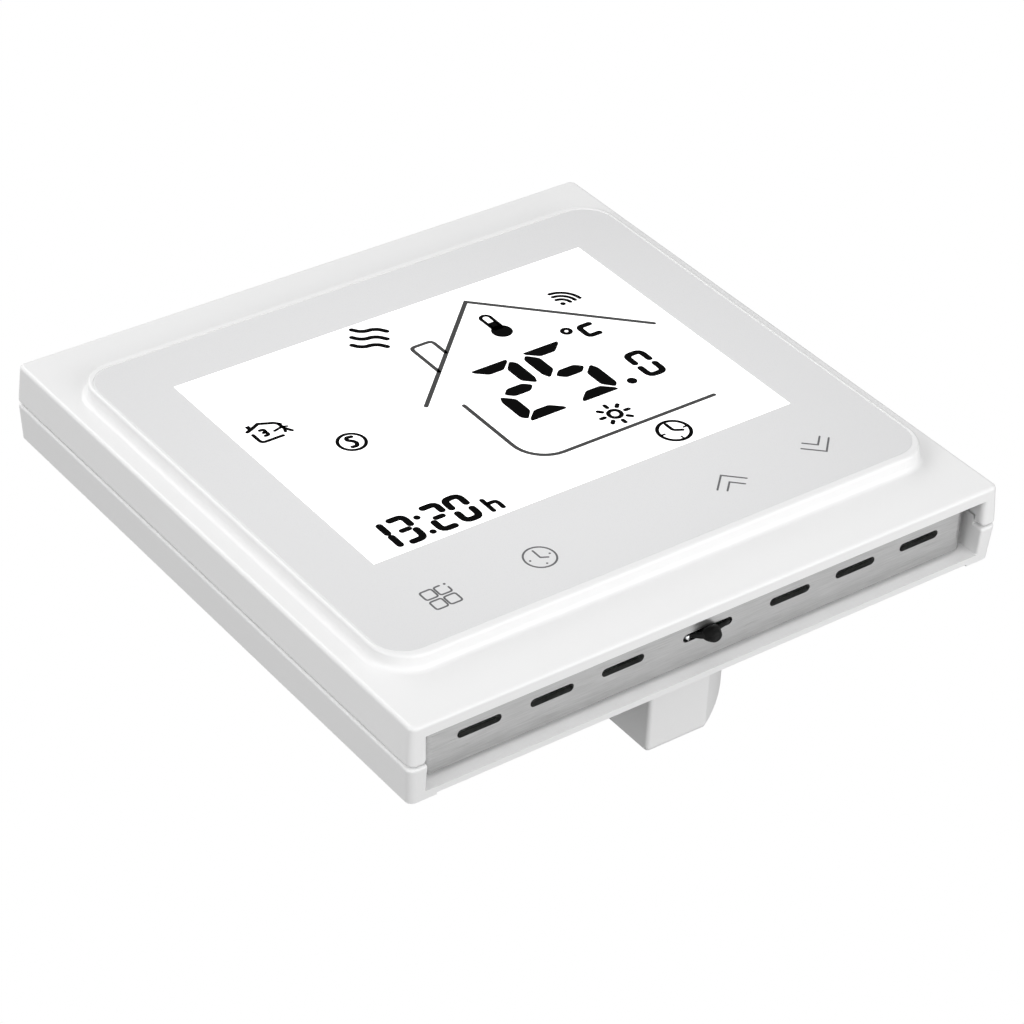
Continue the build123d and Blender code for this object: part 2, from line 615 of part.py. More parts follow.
# ---------------------------------------------------------------- vent strip and room sensor
fold_r = 1.3
fold_l = 1.8
with BuildPart() as vent_strip:
    strip_low, strip_high = recess_low + 0.4, recess_high - 0.05
    with BuildSketch(facing(strip_low)):
        with BuildLine():
            end = strip_half
            top = strip_z + fold_r + fold_l
            Line((-end + fold_r, strip_z), (end - fold_r, strip_z))
            JernArc((end - fold_r, strip_z), (1, 0), fold_r, 90)
            Line((end, strip_z + fold_r), (end, top))
            Line((end, top), (end - strip_t, top))
            Line((end - strip_t, top), (end - strip_t, strip_z + fold_r))
            JernArc((end - strip_t, strip_z + fold_r), (0, -1), fold_r - strip_t, -90)
            Line((end - fold_r, strip_z + strip_t), (-end + fold_r, strip_z + strip_t))
            JernArc((-end + fold_r, strip_z + strip_t), (-1, 0), fold_r - strip_t, -90)
            Line((-end + strip_t, strip_z + fold_r), (-end + strip_t, top))
            Line((-end + strip_t, top), (-end, top))
            Line((-end, top), (-end, strip_z + fold_r))
            JernArc((-end, strip_z + fold_r), (0, -1), fold_r, 90)
        make_face()
    extrude(amount=strip_high - strip_low)
    with BuildSketch(Plane.XY.offset(strip_z - 1)):
        with Locations(*[(x, -slot_d) for x in slot_xs]):
            SlotOverall(slot_l, slot_w)
        with Locations((0, -slot_d)):
            SlotOverall(sensor_slot_l, slot_w)
    extrude(amount=3, mode=Mode.SUBTRACT)
vent_strip.part.label = "vent_strip"

# Sleeve of the room sensor: flat where it passes the slot, then bulging and closing on a round tip.
# Each section is its height, then its half width along and across the slot.
sleeve_sections = (
    (-39.9, 1.3, 0.5),
    (-41.4, 1.3, 0.52),
    (-41.9, 1.3, 0.95),
    (-42.6, 1.05, 0.95),
    (-43.3, 0.7, 0.65),
)
with BuildPart() as sensor_bead:
    for z, along, across in sleeve_sections:
        with BuildSketch(Plane.XY.offset(z)):
            with Locations((0, -slot_d)):
                Ellipse(along, across)
    loft()
    fillet(sensor_bead.edges().group_by(Axis.Z)[0], radius=0.5)
sensor_bead.part.label = "sensor_bead"

with BuildPart() as sensor_leads:
    for side in (-1, 1):
        with BuildLine() as lead_path:
            Polyline(
                (side * 0.75, -slot_d, sleeve_sections[0][0] + 0.2),
                (side * 1.6, -slot_d, sleeve_sections[0][0] + 1.2),
                (side * 1.6, -slot_d, board_bottom - 0.6),
            )
        with BuildSketch(Plane(origin=lead_path.line @ 0, z_dir=lead_path.line % 0)):
            Circle(0.3)
        sweep(path=lead_path.line, transition=Transition.ROUND)
        left, right = side * 1.6 - 0.3, side * 1.6 + 0.3
        add_slab((left, board_bottom - 0.9), (right, board_bottom + 1.2), slot_d - 0.3, back_of_board)
sensor_leads.part.label = "sensor_leads"

pieces = [
    back_frame, inner_cover, cover_screws, power_board, header_socket, terminal_block, terminal_contacts,
    *terminal_screws, *terminal_cages, relay_base, relay_case, relay_coil, relay_yoke, relay_armature,
    relay_contact, transformer_core, transformer_winding, transformer_base, x2_capacitor, varistor, fuse,
    electrolytic_capacitors, rectifier, supply_chip, front_bezel, touch_lens, lens_tape, front_polariser,
    lcd_front_glass, lcd_rear_glass, rear_polariser, diffuser_sheet, light_guide, reflector_sheet, lcd_frame,
    backlight_leds, lcd_pins, display_board, board_screws, touch_springs, microcontroller, lcd_driver,
    radio_board, radio_shield, backup_capacitor, header_plug, header_pins, vent_strip, sensor_bead,
    sensor_leads,
]
os.makedirs("parts", exist_ok=True)
for piece in pieces:
    export_step(piece.part, f"parts/{piece.part.label}.step")
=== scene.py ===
"""Wall thermostat: materials, printed signs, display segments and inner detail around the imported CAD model.

Everything is in metres in the model's own frame: +X right, +Z up, -Y towards the room, wall plane at y = 0.
Flat artwork is drawn in millimetres on the display's plane and scaled by MM when it becomes a mesh.
"""

import math

import bmesh
import bpy
from mathutils import Matrix, Vector


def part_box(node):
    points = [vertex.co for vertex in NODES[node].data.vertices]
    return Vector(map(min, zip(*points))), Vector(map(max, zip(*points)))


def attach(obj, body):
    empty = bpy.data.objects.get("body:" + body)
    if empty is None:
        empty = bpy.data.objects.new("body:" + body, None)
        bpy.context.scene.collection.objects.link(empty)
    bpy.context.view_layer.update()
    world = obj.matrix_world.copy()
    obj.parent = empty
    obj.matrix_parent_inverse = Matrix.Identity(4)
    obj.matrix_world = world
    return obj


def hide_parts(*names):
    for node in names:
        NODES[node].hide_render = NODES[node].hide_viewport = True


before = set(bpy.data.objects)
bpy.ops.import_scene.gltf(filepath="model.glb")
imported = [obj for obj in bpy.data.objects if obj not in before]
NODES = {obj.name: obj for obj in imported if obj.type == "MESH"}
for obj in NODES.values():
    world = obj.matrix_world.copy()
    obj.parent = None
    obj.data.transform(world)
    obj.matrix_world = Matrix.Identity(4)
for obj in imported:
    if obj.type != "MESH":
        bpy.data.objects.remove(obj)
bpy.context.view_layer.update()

MM = 0.001
FRONT = "front_panel"

# ---------------------------------------------------------------- camera

CAMERA_AT = Vector((-219.45, -254.25, -287.23)) * MM
CAMERA_RIGHT = Vector((0.80858, -0.04191, -0.58689))
CAMERA_UP = Vector((0.31278, -0.81423, 0.48908))
CAMERA_BACK = Vector((-0.49836, -0.57903, -0.64526))


def add_camera():
    """Long lens below and to the left of the display, rolled so that the display's face points up."""
    data = bpy.data.cameras.new("camera")
    data.sensor_width = 36.0
    data.lens = 124.7
    data.clip_start = 0.01
    camera = bpy.data.objects.new("camera", data)
    turn = Matrix((CAMERA_RIGHT, CAMERA_UP, CAMERA_BACK)).transposed().to_4x4()
    camera.matrix_world = Matrix.Translation(CAMERA_AT) @ turn
    bpy.context.scene.collection.objects.link(camera)
    bpy.context.scene.camera = camera


# ---------------------------------------------------------------- light and floor

FLOOR_Z, FLOOR_HALF = -0.45, 4.0
FRONT_LIGHT, TOP_LIGHT, BACK_LIGHT = 0.6, 0.7, 0.55
HORIZON_GREY = 0.75
FLOOR_GLOW = 0.45
UNDER_AT, UNDER_SIZE, UNDER_POWER = (0.12, -0.14, -0.42), 0.5, 1.65
SIDE_AT, SIDE_SIZE, SIDE_POWER = (-0.60, -0.31, 0.0), 0.5, 2.15
OVER_AT, OVER_SIZE, OVER_POWER = (-0.08, -0.40, 0.48), 0.4, 0.9


def add_world():
    """Soft studio light, strongest in front of the display, with a separate background for the camera.

    The background is white above and pale grey at the horizon. It gives no light of its own.
    """
    world = bpy.data.worlds.new("studio")
    world.use_nodes = True
    tree = world.node_tree
    tree.nodes.clear()
    out = tree.nodes.new("ShaderNodeOutputWorld")
    lit = tree.nodes.new("ShaderNodeBackground")
    seen = tree.nodes.new("ShaderNodeBackground")
    mix = tree.nodes.new("ShaderNodeMixShader")
    path = tree.nodes.new("ShaderNodeLightPath")
    seen.inputs["Color"].default_value = (1, 1, 1, 1)
    coord = tree.nodes.new("ShaderNodeTexCoord")
    axes = tree.nodes.new("ShaderNodeSeparateXYZ")
    tree.links.new(coord.outputs["Generated"], axes.inputs["Vector"])
    parts = [
        spread(tree, axes.outputs["Y"], FRONT_LIGHT, 0.0, -0.45, 0.05),
        spread(tree, axes.outputs["Z"], 0.0, TOP_LIGHT, 0.5, 1.0),
        spread(tree, axes.outputs["Y"], 0.0, BACK_LIGHT, 0.2, 1.0),
    ]
    tree.links.new(spread(tree, axes.outputs["Z"], HORIZON_GREY, 1.0, 0.0, 0.35), seen.inputs["Strength"])
    total = parts[0]
    for part in parts[1:]:
        add = tree.nodes.new("ShaderNodeMath")
        tree.links.new(total, add.inputs[0])
        tree.links.new(part, add.inputs[1])
        total = add.outputs["Value"]
    tree.links.new(total, lit.inputs["Strength"])
    tree.links.new(path.outputs["Is Camera Ray"], mix.inputs["Fac"])
    tree.links.new(lit.outputs["Background"], mix.inputs[1])
    tree.links.new(seen.outputs["Background"], mix.inputs[2])
    tree.links.new(mix.outputs["Shader"], out.inputs["Surface"])
    bpy.context.scene.world = world


def add_area_light(name, at, size, power):
    """A square soft box that faces the object's centre."""
    data = bpy.data.lights.new(name, "AREA")
    data.size = size
    data.energy = power
    light = bpy.data.objects.new(name, data)
    light.location = at
    light.rotation_euler = (-Vector(at)).to_track_quat("-Z", "Y").to_euler()
    light.visible_camera = False
    bpy.context.scene.collection.objects.link(light)


def add_floor():
    """A wide pale floor well below the object.

    It glows slightly and is hidden from diffuse and shadow rays, so it looks pale from every side and
    neither lights the object nor shades it.
    """
    bm = bmesh.new()
    bmesh.ops.create_grid(bm, x_segments=8, y_segments=8, size=FLOOR_HALF)
    mesh = bpy.data.meshes.new("floor")
    bm.to_mesh(mesh)
    bm.free()
    floor = bpy.data.objects.new("floor", mesh)
    floor.location.z = FLOOR_Z
    bpy.context.scene.collection.objects.link(floor)
    pale = moulded("pale_floor", (0.86, 0.86, 0.86), 0.7, 2.0, 0.0)
    shader = pale.node_tree.nodes["Principled BSDF"]
    shader.inputs["Emission Color"].default_value = (1, 1, 1, 1)
    shader.inputs["Emission Strength"].default_value = FLOOR_GLOW
    mesh.materials.append(pale)
    floor.visible_diffuse = False
    floor.visible_shadow = False


# ---------------------------------------------------------------- material building blocks


def new_material(name, colour, roughness, metallic=0.0):
    """A Principled material and the handles needed to add detail to it."""
    material = bpy.data.materials.new(name)
    material.use_nodes = True
    tree = material.node_tree
    shader = tree.nodes["Principled BSDF"]
    shader.inputs["Base Color"].default_value = (*colour, 1.0)
    shader.inputs["Roughness"].default_value = roughness
    shader.inputs["Metallic"].default_value = metallic
    return material, tree, shader


def place(tree, scale=(1.0, 1.0, 1.0)):
    """Texture space in millimetres of the model's frame, stretched by scale."""
    coord = tree.nodes.new("ShaderNodeTexCoord")
    mapping = tree.nodes.new("ShaderNodeMapping")
    mapping.inputs["Scale"].default_value = [s / MM for s in scale]
    tree.links.new(coord.outputs["Object"], mapping.inputs["Vector"])
    return mapping.outputs["Vector"]


def noise(tree, vector, scale, detail=3.0, roughness=0.55):
    """Noise with features about 1/scale millimetres across."""
    node = tree.nodes.new("ShaderNodeTexNoise")
    node.inputs["Scale"].default_value = scale
    node.inputs["Detail"].default_value = detail
    node.inputs["Roughness"].default_value = roughness
    tree.links.new(vector, node.inputs["Vector"])
    return node.outputs["Fac"]


def spread(tree, value, low, high, start=0.3, stop=0.7):
    """Maps start..stop of a value onto low..high."""
    node = tree.nodes.new("ShaderNodeMapRange")
    node.inputs["From Min"].default_value = start
    node.inputs["From Max"].default_value = stop
    node.inputs["To Min"].default_value = low
    node.inputs["To Max"].default_value = high
    tree.links.new(value, node.inputs["Value"])
    return node.outputs["Result"]


def blend_colours(tree, factor, first, second):
    """Mixes two plain colours, or a colour socket and a plain colour, by a value."""
    node = tree.nodes.new("ShaderNodeMix")
    node.data_type = "RGBA"
    tree.links.new(factor, node.inputs["Factor"])
    for socket, colour in ((node.inputs["A"], first), (node.inputs["B"], second)):
        if isinstance(colour, bpy.types.NodeSocket):
            tree.links.new(colour, socket)
        else:
            socket.default_value = (*colour, 1.0)
    return node.outputs["Result"]


def bump(tree, shader, height, depth):
    """Surface relief of about depth millimetres."""
    node = tree.nodes.new("ShaderNodeBump")
    node.inputs["Strength"].default_value = 1.0
    node.inputs["Distance"].default_value = depth * MM
    tree.links.new(height, node.inputs["Height"])
    tree.links.new(node.outputs["Normal"], shader.inputs["Normal"])


def shade(colour, factor):
    return tuple(min(1.0, c * factor) for c in colour)


def moulded(name, colour, roughness, grain=6.0, depth=0.004, coat=0.0, mottle=0.03, shine=0.5):
    """Injection-moulded plastic: faint cloudy tone, uneven gloss and a fine tool texture."""
    material, tree, shader = new_material(name, colour, roughness)
    cloud = noise(tree, place(tree), 0.12, 4.0)
    dark, light = shade(colour, 1 - mottle), shade(colour, 1 + mottle)
    tree.links.new(blend_colours(tree, cloud, dark, light), shader.inputs["Base Color"])
    fine = noise(tree, place(tree), grain, 5.0)
    low, high = max(0.02, roughness - 0.06), min(1.0, roughness + 0.06)
    tree.links.new(spread(tree, fine, low, high), shader.inputs["Roughness"])
    if depth:
        bump(tree, shader, fine, depth)
    shader.inputs["Specular IOR Level"].default_value = shine
    shader.inputs["Coat Weight"].default_value = coat
    shader.inputs["Coat Roughness"].default_value = 0.12
    return material


def ink(name, colour):
    """Dark print or display segment behind glass: almost no shine, slightly uneven."""
    return moulded(name, colour, 0.5, grain=3.0, depth=0.0, mottle=0.15, shine=0.02)


def metal(name, colour, roughness, stretch=(1.0, 1.0, 1.0), depth=0.002, contrast=0.12, grain=4.0):
    """Metal with a directional or even grain, set by how the noise is stretched."""
    material, tree, shader = new_material(name, colour, roughness, metallic=1.0)
    lines = noise(tree, place(tree, stretch), grain, 6.0, 0.65)
    dark, light = shade(colour, 1 - contrast), shade(colour, 1 + contrast)
    tone = spread(tree, lines, 0.0, 1.0, 0.35, 0.65)
    tree.links.new(blend_colours(tree, tone, dark, light), shader.inputs["Base Color"])
    tree.links.new(spread(tree, lines, roughness - 0.07, roughness + 0.1), shader.inputs["Roughness"])
    bump(tree, shader, lines, depth)
    return material


TRACK_HALF_PITCH = 0.42
TRACK_PATCH = (6.35, 50.0, 5.08)
TRACK_SHARE, POUR_SHARE = 0.5, 0.3


def circuit_board(name):
    """Green solder mask over patches of parallel tracks and copper pours."""
    green, track = (0.010, 0.10, 0.040), (0.022, 0.19, 0.075)
    material, tree, shader = new_material(name, green, 0.32)
    where = place(tree)
    patch = tree.nodes.new("ShaderNodeVectorMath")
    patch.operation = "SNAP"
    patch.inputs[1].default_value = TRACK_PATCH
    tree.links.new(where, patch.inputs[0])
    pick = tree.nodes.new("ShaderNodeTexWhiteNoise")
    tree.links.new(patch.outputs["Vector"], pick.inputs["Vector"])
    axes = tree.nodes.new("ShaderNodeSeparateXYZ")
    tree.links.new(where, axes.inputs["Vector"])
    lines = []
    for socket in ("X", "Z"):
        fold = tree.nodes.new("ShaderNodeMath")
        fold.operation = "PINGPONG"
        fold.inputs[1].default_value = TRACK_HALF_PITCH
        tree.links.new(axes.outputs[socket], fold.inputs[0])
        lines.append(spread(tree, fold.outputs["Value"], 0.0, 1.0, 0.22, 0.27))
    which = tree.nodes.new("ShaderNodeMix")
    turned = spread(tree, pick.outputs["Value"], 0.0, 1.0, TRACK_SHARE, TRACK_SHARE + 0.001)
    tree.links.new(turned, which.inputs["Factor"])
    tree.links.new(lines[0], which.inputs["A"])
    tree.links.new(lines[1], which.inputs["B"])
    pour = tree.nodes.new("ShaderNodeMix")
    filled = spread(tree, pick.outputs["Value"], 0.0, 1.0, 1 - POUR_SHARE, 1 - POUR_SHARE + 0.001)
    tree.links.new(filled, pour.inputs["Factor"])
    tree.links.new(which.outputs["Result"], pour.inputs["A"])
    pour.inputs["B"].default_value = 1.0
    copper = pour.outputs["Result"]
    tree.links.new(blend_colours(tree, copper, green, track), shader.inputs["Base Color"])
    bump(tree, shader, copper, 0.03)
    shader.inputs["Coat Weight"].default_value = 0.6
    shader.inputs["Coat Roughness"].default_value = 0.15
    return material


def glowing(name, colour, strength):
    """Backlit display film: an even white glow under a smooth face, with a faint film tone."""
    material, tree, shader = new_material(name, colour, 0.25)
    cloud = noise(tree, place(tree), 0.05, 2.0)
    tone = blend_colours(tree, cloud, shade(colour, 0.985), colour)
    tree.links.new(tone, shader.inputs["Base Color"])
    tree.links.new(tone, shader.inputs["Emission Color"])
    shader.inputs["Emission Strength"].default_value = strength
    return material


def clear_sheet(name, colour, roughness):
    """Glass or clear film seen at its edges: mostly reflective, lightly tinted, faintly smeared."""
    material, tree, shader = new_material(name, colour, roughness)
    smear = noise(tree, place(tree, (0.3, 1.0, 1.0)), 0.4, 3.0)
    tree.links.new(spread(tree, smear, roughness, roughness + 0.05), shader.inputs["Roughness"])
    tree.links.new(blend_colours(tree, smear, shade(colour, 0.94), colour), shader.inputs["Base Color"])
    shader.inputs["Alpha"].default_value = 0.35
    shader.inputs["IOR"].default_value = 1.52
    return material


def printed_lens_with_painted_highlight():
    """Silver-grey print seen through a smooth clear face, with a painted highlight: paler in the middle, with
    painted shade towards the corners.
    """
    # colour is the painted highlight in the middle, edge the darker painted shade at the lens corners
    colour, edge = (0.80, 0.80, 0.805), (0.74, 0.74, 0.745)
    material, tree, shader = new_material("lens_print_painted_highlight", colour, 0.3)
    low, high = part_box("touch_lens")
    middle = (low + high) / 2
    coord = tree.nodes.new("ShaderNodeTexCoord")
    away = tree.nodes.new("ShaderNodeVectorMath")
    away.operation = "DISTANCE"
    away.inputs[1].default_value = middle
    tree.links.new(coord.outputs["Object"], away.inputs[0])
    # Painted highlight fading into painted shade between 25 mm and 55 mm from the lens middle
    reach = spread(tree, away.outputs["Value"], 0.0, 1.0, 25 * MM, 55 * MM)
    flake = noise(tree, place(tree), 14.0, 2.0)
    tone = blend_colours(tree, reach, colour, edge)
    speck = blend_colours(tree, spread(tree, flake, 0.0, 0.12, 0.45, 0.75), tone, (0.95, 0.95, 0.96))
    tree.links.new(speck, shader.inputs["Base Color"])
    tree.links.new(spread(tree, flake, 0.26, 0.36), shader.inputs["Roughness"])
    shader.inputs["Coat Weight"].default_value = 0.7
    shader.inputs["Coat Roughness"].default_value = 0.06
    return material


def wound_wire(name, colour, pitch, axis):
    """Fine enamelled wire in close turns: a banded relief across the given axis, with painted shade darkening
    the grooves between turns.
    """
    material, tree, shader = new_material(name, colour, 0.3, metallic=0.7)
    turns = tree.nodes.new("ShaderNodeTexWave")
    turns.bands_direction = axis
    turns.inputs["Scale"].default_value = 0.314 / pitch
    turns.inputs["Distortion"].default_value = 0.15
    tree.links.new(place(tree), turns.inputs["Vector"])
    groove_relief_and_shade = turns.outputs["Fac"]
    # Painted shade: the wire colour falls to 35 % along the grooves between turns
    tree.links.new(blend_colours(tree, groove_relief_and_shade, shade(colour, 0.35), colour), shader.inputs["Base Color"])
    bump(tree, shader, groove_relief_and_shade, 0.05)
    return material


WHITE, BACK_WHITE = (0.875, 0.875, 0.875), (0.865, 0.865, 0.865)
YELLOW, SLEEVE_BLUE = (0.8, 0.55, 0.03), (0.012, 0.02, 0.07)

MATERIALS = {
    "white_abs": moulded("white_abs", WHITE, 0.36, grain=7.0, depth=0.0035, coat=0.25, mottle=0.006),
    "back_abs": moulded("back_abs", BACK_WHITE, 0.42, depth=0.006, coat=0.1, mottle=0.008),
    "white_frame": moulded("white_frame", (0.8, 0.8, 0.78), 0.5, grain=5.0, depth=0.006),
    "tape": moulded("tape", (0.82, 0.82, 0.8), 0.8, grain=3.0, depth=0.02),
    "reflector": moulded("reflector", (0.9, 0.9, 0.9), 0.25, depth=0.001),
    "board": circuit_board("board"),
    "chip": moulded("chip", (0.012, 0.012, 0.013), 0.5, grain=9.0, depth=0.01, mottle=0.2),
    "black_plug": moulded("black_plug", (0.014, 0.014, 0.015), 0.4, grain=5.0, depth=0.004, mottle=0.15),
    "terminal": moulded("terminal", (0.02, 0.16, 0.06), 0.45, grain=5.0, depth=0.006, mottle=0.1),
    "relay_shell": moulded("relay_shell", (0.015, 0.015, 0.018), 0.28, grain=4.0, depth=0.003, mottle=0.2),
    "ferrite": moulded("ferrite", (0.035, 0.035, 0.038), 0.55, grain=6.0, depth=0.02, mottle=0.25),
    "yellow_tape": moulded("yellow_tape", YELLOW, 0.2, grain=1.2, depth=0.02, coat=0.5, mottle=0.06),
    "film_box": moulded("film_box", (0.83, 0.5, 0.02), 0.3, grain=4.0, depth=0.004, mottle=0.05),
    "varistor": moulded("varistor", (0.01, 0.07, 0.33), 0.35, grain=1.5, depth=0.05, coat=0.4, mottle=0.15),
    "fuse": moulded("fuse", (0.09, 0.03, 0.015), 0.4, grain=4.0, depth=0.004, mottle=0.1),
    "capacitor": moulded("capacitor", SLEEVE_BLUE, 0.22, grain=2.0, depth=0.004, coat=0.4, mottle=0.1),
    "sleeve": moulded("sleeve", (0.006, 0.006, 0.006), 0.55, grain=2.5, depth=0.05, mottle=0.3, shine=0.12),
    "led": moulded("led", (0.85, 0.8, 0.45), 0.2, depth=0.002),
    "glass": clear_sheet("glass", (0.8, 0.9, 0.87), 0.04),
    "film": clear_sheet("film", (0.62, 0.66, 0.62), 0.12),
    "tin": metal("tin", (0.72, 0.73, 0.74), 0.25, depth=0.003),
    "shield": metal("shield", (0.7, 0.71, 0.72), 0.28, (0.15, 1.0, 1.0), depth=0.003, contrast=0.08),
    "steel": metal("steel", (0.62, 0.63, 0.65), 0.24, depth=0.004, contrast=0.15),
    "brass": metal("brass", (0.83, 0.62, 0.3), 0.28, (0.3, 1.0, 1.0), depth=0.003),
    "gold": metal("gold", (0.95, 0.72, 0.33), 0.2, depth=0.002),
    "vent": metal("vent", (0.45, 0.45, 0.45), 0.33, (0.035, 1.0, 1.0), depth=0.006, contrast=0.1, grain=7.0),
    "coil": wound_wire("coil", (0.72, 0.25, 0.1), 0.18, "Y"),
    "lens_print_painted_highlight": printed_lens_with_painted_highlight(),
    "view": glowing("view", (1.0, 1.0, 1.0), 0.75),
    "segment": ink("segment", (0.0012, 0.0012, 0.0012)),
    "line_segment": ink("line_segment", (0.075, 0.075, 0.075)),
    "key_print": ink("key_print", (0.16, 0.16, 0.165)),
}

FINISHES = {
    "white_abs": ["front_bezel"],
    "back_abs": ["back_frame"],
    "white_frame": ["inner_cover", "lcd_frame"],
    "tape": ["lens_tape"],
    "reflector": ["diffuser_sheet", "light_guide", "reflector_sheet"],
    "board": ["display_board", "power_board", "radio_board"],
    "chip": ["microcontroller", "lcd_driver", "supply_chip", "rectifier"],
    "black_plug": ["header_plug", "header_socket", "relay_base", "transformer_base"],
    "terminal": ["terminal_block"],
    "relay_shell": ["relay_case"],
    "ferrite": ["transformer_core"],
    "yellow_tape": ["transformer_winding"],
    "film_box": ["x2_capacitor"],
    "varistor": ["varistor"],
    "fuse": ["fuse"],
    "capacitor": ["electrolytic_capacitors", "backup_capacitor"],
    "sleeve": ["sensor_bead", "sensor_leads"],
    "led": ["backlight_leds"],
    "glass": ["lcd_front_glass", "lcd_rear_glass"],
    "film": ["front_polariser", "rear_polariser"],
    "tin": ["lcd_pins", "touch_springs", "relay_contact"],
    "shield": ["radio_shield"],
    "steel": ["board_screws", "cover_screws", "relay_yoke", "relay_armature"],
    "brass": ["terminal_contacts"],
    "gold": ["header_pins"],
    "vent": ["vent_strip"],
    "coil": ["relay_coil"],
    "lens_print_painted_highlight": ["touch_lens"],
}
FINISHES["steel"] += [f"terminal_screw_{i}" for i in range(1, 7)]
FINISHES["brass"] += [f"terminal_cage_{i}" for i in range(1, 7)]


def finish_cad_nodes():
    """Gives every carried-over CAD node its material."""
    for finish, names in FINISHES.items():
        for name in names:
            mesh = NODES[name].data
            mesh.materials.clear()
            mesh.materials.append(MATERIALS[finish])


def add_piece(name, bm, finish):
    """Turns a bmesh into a named piece that rides on the front panel."""
    mesh = bpy.data.meshes.new(name)
    bm.to_mesh(mesh)
    bm.free()
    mesh.materials.append(MATERIALS[finish])
    piece = bpy.data.objects.new(name, mesh)
    bpy.context.scene.collection.objects.link(piece)
    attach(piece, FRONT)
    return piece


# ---------------------------------------------------------------- flat artwork

LENS_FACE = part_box("touch_lens")[0].y
PRINT_T = 0.015 * MM
ARC_STEP = math.radians(10)


def arc(centre, radius, start, stop):
    """Points on an arc, angles in degrees, anticlockwise from the +X direction."""
    first, last = math.radians(start), math.radians(stop)
    steps = max(2, math.ceil(abs(last - first) / ARC_STEP))
    angles = [first + (last - first) * i / steps for i in range(steps + 1)]
    return [(centre[0] + radius * math.cos(a), centre[1] + radius * math.sin(a)) for a in angles]


def rounded(points, radius, closed=True):
    """The polygon or path with each corner replaced by an arc-like curve of about the given radius."""
    result = []
    count = len(points)
    for i, (x, z) in enumerate(points):
        if not closed and i in (0, count - 1):
            result.append((x, z))
            continue
        corner = Vector((x, z))
        before = Vector(points[i - 1]) - corner
        after = Vector(points[(i + 1) % count]) - corner
        cut = min(radius, before.length * 0.48, after.length * 0.48)
        start, stop = corner + before.normalized() * cut, corner + after.normalized() * cut
        for step in range(5):
            t = step / 4
            point = start * (1 - t) ** 2 + corner * (2 * t * (1 - t)) + stop * t**2
            result.append(tuple(point))
    return result


class Artwork:
    """Thin closed prints on the display's plane, collected into one mesh."""

    def __init__(self, name, finish, back):
        self.name, self.finish, self.back = name, finish, back
        self.bm = bmesh.new()

    def _vertices(self, points):
        front = [self.bm.verts.new((x * MM, self.back - PRINT_T, z * MM)) for x, z in points]
        rear = [self.bm.verts.new((x * MM, self.back, z * MM)) for x, z in points]
        return front, rear

    def fill(self, points):
        """A filled outline."""
        front, rear = self._vertices(points)
        self.bm.faces.new(front)
        self.bm.faces.new(list(reversed(rear)))
        for i in range(len(points)):
            j = (i + 1) % len(points)
            self.bm.faces.new((front[j], front[i], rear[i], rear[j]))

    def disc(self, centre, radius):
        self.fill(arc(centre, radius, 0, 360)[:-1])

    def stroke(self, points, width, closed=False):
        """A line of the given width with mitred bends, and round ends if it is open."""
        path = [Vector(points[0])]
        for point in points[1:]:
            if (Vector(point) - path[-1]).length > 1e-6:
                path.append(Vector(point))
        if closed and (path[0] - path[-1]).length < 1e-6:
            path.pop()
        count, half = len(path), width / 2
        left, right = [], []
        for i, p in enumerate(path):
            into = p - path[i - 1] if closed or i else path[1] - path[0]
            out = path[(i + 1) % count] - p if closed or i < count - 1 else path[-1] - path[-2]
            into, out = into.normalized(), out.normalized()
            along = (into + out).normalized()
            normal = Vector((-along.y, along.x))
            reach = half / max(0.4, normal.dot(Vector((-into.y, into.x))))
            left.append(p + normal * reach)
            right.append(p - normal * reach)
        if closed:
            self._band(left, right, True)
            return
        self._band(left, right, False)
        self._cap(path[0], path[0] - path[1], half)
        self._cap(path[-1], path[-1] - path[-2], half)

    def _band(self, left, right, closed):
        count = len(left)
        fl, rl = self._vertices(left)
        fr, rr = self._vertices(right)
        for i in range(count if closed else count - 1):
            j = (i + 1) % count
            self.bm.faces.new((fl[i], fl[j], fr[j], fr[i]))
            self.bm.faces.new((rl[i], rr[i], rr[j], rl[j]))
            self.bm.faces.new((fl[i], rl[i], rl[j], fl[j]))
            self.bm.faces.new((fr[i], fr[j], rr[j], rr[i]))
        if not closed:
            self.bm.faces.new((fl[0], fr[0], rr[0], rl[0]))
            self.bm.faces.new((fl[-1], rl[-1], rr[-1], fr[-1]))

    def _cap(self, centre, outward, half):
        """Half disc closing an open line."""
        angle = math.degrees(math.atan2(outward.y, outward.x))
        self.fill(arc(centre, half, angle - 90, angle + 90))

    def done(self, slot):
        bmesh.ops.recalc_face_normals(self.bm, faces=self.bm.faces)
        add_piece(self.name, self.bm, self.finish)


def shifted(points, dx, dz):
    return [(x + dx, z + dz) for x, z in points]


def big_digit(art, centre, segments):
    """Tapered seven-segment digit: 6.8 wide, 12.9 high."""
    top = [(-2.7, 6.45), (2.7, 6.45), (2.6, 5.95), (1.1, 4.65), (-1.1, 4.65), (-2.6, 5.95)]
    upper_right = [(2.75, 5.85), (3.45, 5.1), (3.45, 1.2), (3.05, 0.3)]
    upper_right += [(2.75, 0.3), (1.45, 1.5), (1.45, 4.45)]
    shapes = {
        "top": (top, 0.35),
        "bottom": ([(x, -z) for x, z in top], 0.35),
        "upper_right": (upper_right, 0.4),
        "upper_left": ([(-x, z) for x, z in upper_right], 0.4),
        "lower_right": ([(x, -z) for x, z in upper_right], 0.4),
        "lower_left": ([(-x, -z) for x, z in upper_right], 0.4),
        "middle": ([(-2.2, 0), (-1.2, 0.95), (1.2, 0.95), (2.2, 0), (1.2, -0.95), (-1.2, -0.95)], 0.4),
    }
    for name in segments:
        points, radius = shapes[name]
        art.fill(shifted(rounded(points, radius), *centre))


